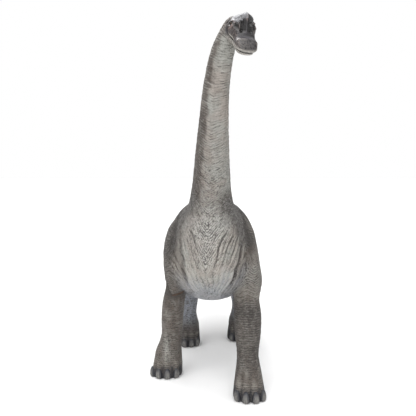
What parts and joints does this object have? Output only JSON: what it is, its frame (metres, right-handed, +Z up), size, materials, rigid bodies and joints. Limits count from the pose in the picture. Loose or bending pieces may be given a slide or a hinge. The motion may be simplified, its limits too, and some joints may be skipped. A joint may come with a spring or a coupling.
{
  "type": "sauropod dinosaur statue",
  "caption": "Standing long-necked dinosaur statue in mid stride, neck raised and tail held low, cast hollow and painted, standing free on its feet.",
  "frame": {"origin": "on the floor under the middle of the statue's box", "axes": "+Z up, the animal faces -Y, its left side is +X"},
  "size_m": [0.9576, 3.3748, 2.7837],
  "materials": {
    "skin": "painted glass-fibre resin, grey with a pale dry-brushed front and dark washes, matt to satin",
    "nail": "painted glass-fibre resin, blue-grey, satin",
    "eye": "dark brown paint under gloss varnish"
  },
  "bodies": {
    "root": {"head": "skin", "lower_jaw": "skin", "eye_left": "eye", "eye_right": "eye", "neck_upper": "skin", "neck_middle": "skin", "neck_lower": "skin", "trunk": "skin", "tail_base": "skin", "tail_middle": "skin", "tail_tip": "skin", "fore_left_upper": "skin", "fore_left_lower": "skin", "fore_left_foot": "skin", "fore_left_nail_1": "nail", "fore_left_nail_2": "nail", "fore_left_nail_3": "nail", "fore_left_nail_4": "nail", "fore_right_upper": "skin", "fore_right_lower": "skin", "fore_right_foot": "skin", "fore_right_nail_1": "nail", "fore_right_nail_2": "nail", "fore_right_nail_3": "nail", "fore_right_nail_4": "nail", "hind_left_upper": "skin", "hind_left_lower": "skin", "hind_left_foot": "skin", "hind_left_nail_1": "nail", "hind_left_nail_2": "nail", "hind_left_nail_3": "nail", "hind_left_nail_4": "nail", "hind_right_upper": "skin", "hind_right_lower": "skin", "hind_right_foot": "skin", "hind_right_nail_1": "nail", "hind_right_nail_2": "nail", "hind_right_nail_3": "nail", "hind_right_nail_4": "nail"}
  },
  "joints": []
}
